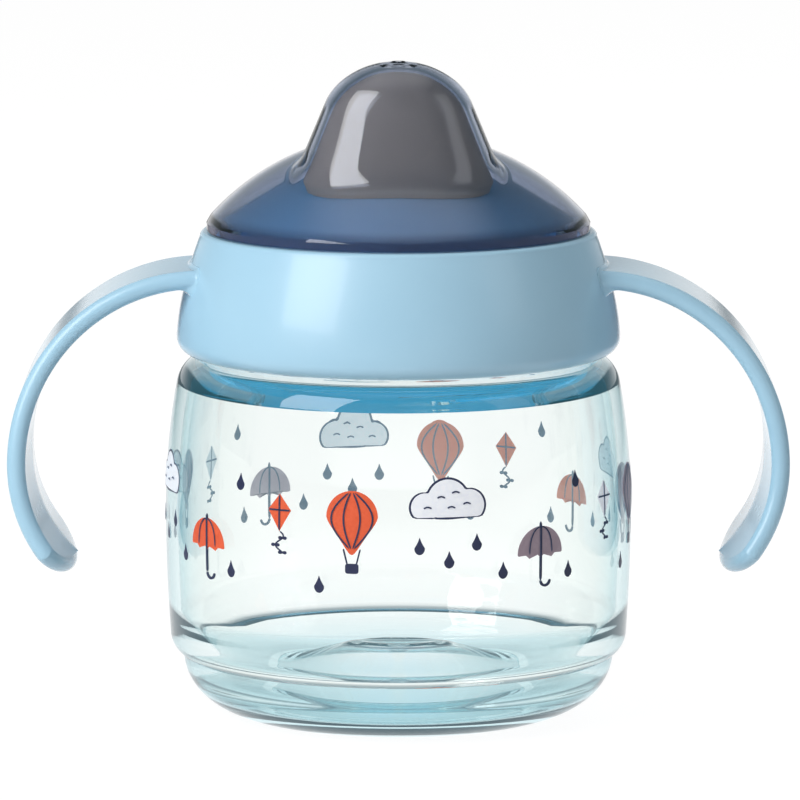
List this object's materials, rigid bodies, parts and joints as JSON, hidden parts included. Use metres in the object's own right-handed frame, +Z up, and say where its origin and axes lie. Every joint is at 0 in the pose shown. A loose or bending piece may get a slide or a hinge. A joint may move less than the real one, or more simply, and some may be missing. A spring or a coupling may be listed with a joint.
{
  "type": "sippy cup",
  "caption": "Child's training cup: clear tumbler, screw collar with hook handles, soft spout with valves under a see-through travel cap.",
  "frame": {"origin": "middle of the foot, on the table", "axes": "+Z up along the cup's axis, handles along X, spout toward -Y (the front)"},
  "size_m": [0.128, 0.077, 0.1093],
  "materials": {
    "clear_plastic": "clear, polished",
    "blue_plastic": "semi-gloss",
    "lid_plastic": "semi-gloss",
    "spout_silicone": "soft matte",
    "seal_silicone": "soft matte",
    "valve_plastic": "semi-gloss",
    "smoky_plastic": "see-through, polished"
  },
  "bodies": {
    "tumbler": {"tumbler": "clear_plastic"},
    "lid": {"spout_lid": "lid_plastic", "soft_spout": "spout_silicone", "seal_ring": "seal_silicone", "vent_valve": "seal_silicone"},
    "collar": {"handled_collar": "blue_plastic"},
    "valve": {"valve_holder": "valve_plastic", "valve_membrane": "seal_silicone"},
    "cap": {"travel_cap": "smoky_plastic"}
  },
  "joints": [
    {"name": "lid_lift", "type": "slide", "parent": "tumbler", "child": "lid", "axis": [0, 0, 1], "range_m": [0, 0.0063]},
    {"name": "collar_turn", "type": "hinge", "parent": "lid", "child": "collar", "pos_m": [0, 0, 0.07], "axis": [0, 0, 1], "range_deg": [0, 450]},
    {"name": "cap_lift", "type": "slide", "parent": "lid", "child": "cap", "axis": [0, 0, 1], "range_m": [0, 0.045]},
    {"name": "valve_pull", "type": "slide", "parent": "lid", "child": "valve", "axis": [0, 0, -1], "range_m": [0, 0.012]}
  ],
  "couplings": [
    {"joint": "lid_lift", "follows": "collar_turn", "m_per_rad": 0.00079577}
  ]
}
